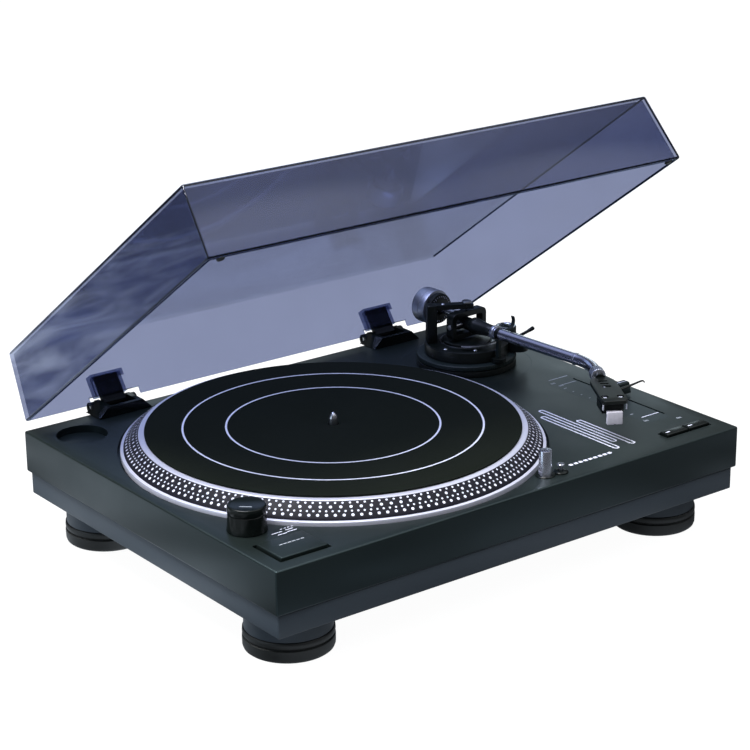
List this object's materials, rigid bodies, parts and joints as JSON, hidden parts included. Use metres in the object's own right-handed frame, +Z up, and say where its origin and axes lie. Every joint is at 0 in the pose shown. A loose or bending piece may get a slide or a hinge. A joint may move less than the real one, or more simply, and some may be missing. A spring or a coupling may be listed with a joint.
{
  "type": "turntable record player",
  "caption": "Direct-drive record player with a black plinth, dotted platter, curved tonearm, side controls and a hinged smoked dust cover",
  "frame": {"origin": "centre of the footprint of the whole object with its cover open, at the level of the feet", "axes": "+X to the right along the front edge, +Y to the back where the cover is hinged, +Z up"},
  "size_m": [0.45, 0.3787, 0.3355],
  "materials": {
    "plinth_black": "satin black, faint fine texture",
    "tray_slate": "slate grey moulding",
    "rubber": "matt black rubber",
    "felt": "black wool felt with thin pale rings",
    "cast_aluminium": "turned and clear coated",
    "platter_alloy": "silver lips, black strobe band with pale dots",
    "chrome": "polished",
    "steel": "brushed",
    "gloss_black": "gloss black",
    "satin_black": "satin black",
    "dark_grey": "dark grey semi-gloss",
    "smoked_acrylic": "clear smoked acrylic",
    "guard_clear": "frosted clear",
    "circuit_board": "green laminate",
    "laminated_iron": "laminated iron and wire"
  },
  "bodies": {
    "root": {"top_shell": "plinth_black", "base_tray": "tray_slate", "isolation_foot_front_left": "rubber", "isolation_foot_front_right": "rubber", "isolation_foot_rear_left": "rubber", "isolation_foot_rear_right": "rubber", "bearing_housing": "cast_aluminium", "motor_stator": "laminated_iron", "main_board": "circuit_board", "transformer": "laminated_iron", "strobe_tower": "gloss_black", "pitch_track": "steel", "tonearm_base": "satin_black", "hinge_base_left": "gloss_black", "hinge_base_right": "gloss_black", "hinge_pin_left": "steel", "hinge_pin_right": "steel", "rear_socket_plate": "steel", "ground_terminal": "steel", "rca_jack_right": "steel", "rca_jack_left": "steel", "usb_socket": "steel", "mains_inlet": "satin_black"},
    "platter": {"platter": "platter_alloy", "slipmat": "felt", "spindle": "steel", "magnet_ring": "laminated_iron"},
    "cover": {"cover": "smoked_acrylic", "hinge_tongue_left": "gloss_black", "hinge_tongue_right": "gloss_black"},
    "start_stop_key": {"start_stop_key": "dark_grey"},
    "speed_key_33": {"speed_key_33": "dark_grey"},
    "speed_key_45": {"speed_key_45": "dark_grey"},
    "power_knob": {"power_knob": "gloss_black"},
    "target_light": {"target_light": "chrome"},
    "light_button": {"light_button": "cast_aluminium"},
    "pitch_fader": {"pitch_fader": "dark_grey"},
    "line_switch": {"line_switch": "satin_black"},
    "height_ring": {"height_ring": "satin_black"},
    "arm_column": {"arm_plate": "satin_black", "arm_bracket": "dark_grey", "top_bearing_screw": "steel", "arm_rest": "dark_grey"},
    "arm_yoke": {"gimbal_ring": "dark_grey"},
    "tonearm": {"arm_boss": "satin_black", "arm_collar": "cast_aluminium", "arm_tube": "chrome", "rear_stub": "steel", "headshell": "dark_grey", "finger_lift": "satin_black", "cartridge": "satin_black", "stylus_guard": "guard_clear"},
    "locking_nut": {"locking_nut": "cast_aluminium"},
    "weight_sleeve": {"weight_sleeve": "satin_black"},
    "counterweight": {"counterweight": "cast_aluminium"},
    "counterweight_dial": {"counterweight_dial": "satin_black"},
    "antiskate_dial": {"antiskate_dial": "satin_black"},
    "cue_lever": {"cue_lever": "satin_black"},
    "cue_platform": {"cue_platform": "cast_aluminium"},
    "rest_clip": {"rest_clip": "dark_grey"}
  },
  "joints": [
    {"name": "platter_spin", "type": "hinge", "parent": "root", "child": "platter", "pos_m": [-0.0464, -0.01391, 0.086], "axis": [0, 0, 1], "continuous": true},
    {"name": "cover_hinge", "type": "hinge", "parent": "root", "child": "cover", "pos_m": [0, 0.16569, 0.089], "axis": [-1, 0, 0], "range_deg": [-35.7, 24.3]},
    {"name": "start_stop_key_press", "type": "slide", "parent": "root", "child": "start_stop_key", "axis": [0, 0, 1], "range_m": [-0.002, 0], "stiffness_N_per_m": 400},
    {"name": "speed_key_33_press", "type": "slide", "parent": "root", "child": "speed_key_33", "axis": [0, 0, 1], "range_m": [-0.0015, 0], "stiffness_N_per_m": 250},
    {"name": "speed_key_45_press", "type": "slide", "parent": "root", "child": "speed_key_45", "axis": [0, 0, 1], "range_m": [-0.0015, 0], "stiffness_N_per_m": 250},
    {"name": "light_button_press", "type": "slide", "parent": "root", "child": "light_button", "axis": [0, 0, 1], "range_m": [-0.002, 0], "stiffness_N_per_m": 150},
    {"name": "target_light_pop", "type": "slide", "parent": "root", "child": "target_light", "axis": [0, 0, 1], "range_m": [-0.015, 0], "stiffness_N_per_m": 180},
    {"name": "power_knob_turn", "type": "hinge", "parent": "root", "child": "power_knob", "pos_m": [-0.1983, -0.11561, 0.103], "axis": [0, 0, 1], "range_deg": [0, 40]},
    {"name": "pitch_slide", "type": "slide", "parent": "root", "child": "pitch_fader", "axis": [0, 1, 0], "range_m": [-0.048, 0.048]},
    {"name": "line_switch_slide", "type": "slide", "parent": "root", "child": "line_switch", "axis": [1, 0, 0], "range_m": [0, 0.0025]},
    {"name": "height_ring_turn", "type": "hinge", "parent": "root", "child": "height_ring", "pos_m": [0.157, 0.06819, 0.094], "axis": [0, 0, 1], "range_deg": [0, 60]},
    {"name": "arm_height", "type": "slide", "parent": "root", "child": "arm_column", "axis": [0, 0, 1], "range_m": [0, 0.006]},
    {"name": "arm_swing", "type": "hinge", "parent": "arm_column", "child": "arm_yoke", "pos_m": [0.157, 0.06819, 0.1215], "axis": [0, 0, 1], "range_deg": [-46, 0]},
    {"name": "arm_lift", "type": "hinge", "parent": "arm_yoke", "child": "tonearm", "pos_m": [0.157, 0.06819, 0.1215], "axis": [-0.9977, -0.068, 0], "range_deg": [0, 12]},
    {"name": "locking_nut_turn", "type": "hinge", "parent": "tonearm", "child": "locking_nut", "pos_m": [0.15393, -0.10001, 0.1215], "axis": [-0.509, -0.8607, 0], "range_deg": [0, 60]},
    {"name": "weight_travel", "type": "slide", "parent": "tonearm", "child": "weight_sleeve", "axis": [-0.068, 0.9977, 0], "range_m": [-0.003, 0.003]},
    {"name": "weight_turn", "type": "hinge", "parent": "weight_sleeve", "child": "counterweight", "pos_m": [0.15387, 0.11408, 0.1265], "axis": [-0.068, 0.9977, 0], "range_deg": [-170, 170]},
    {"name": "scale_ring_turn", "type": "hinge", "parent": "counterweight", "child": "counterweight_dial", "pos_m": [0.15462, 0.10311, 0.1265], "axis": [-0.068, 0.9977, 0], "continuous": true},
    {"name": "antiskate_turn", "type": "hinge", "parent": "arm_column", "child": "antiskate_dial", "pos_m": [0.194, 0.05919, 0.111], "axis": [0, 0, 1], "range_deg": [0, 270]},
    {"name": "cue_lever_turn", "type": "hinge", "parent": "arm_column", "child": "cue_lever", "pos_m": [0.1925, 0.04139, 0.1086], "axis": [-0.279, -0.9603, 0], "range_deg": [0, 40]},
    {"name": "cue_platform_rise", "type": "slide", "parent": "arm_column", "child": "cue_platform", "axis": [0, 0, 1], "range_m": [0, 0.005]},
    {"name": "rest_clip_turn", "type": "hinge", "parent": "arm_column", "child": "rest_clip", "pos_m": [0.16758, 0.02922, 0.1221], "axis": [-0.068, 0.9977, 0], "range_deg": [-115, 0]}
  ],
  "couplings": [
    {"joint": "arm_height", "follows": "height_ring_turn", "m_per_rad": 0.0057},
    {"joint": "weight_travel", "follows": "weight_turn", "m_per_rad": 0.001},
    {"joint": "cue_lever_turn", "follows": "cue_platform_rise", "rad_per_m": 139.6}
  ]
}
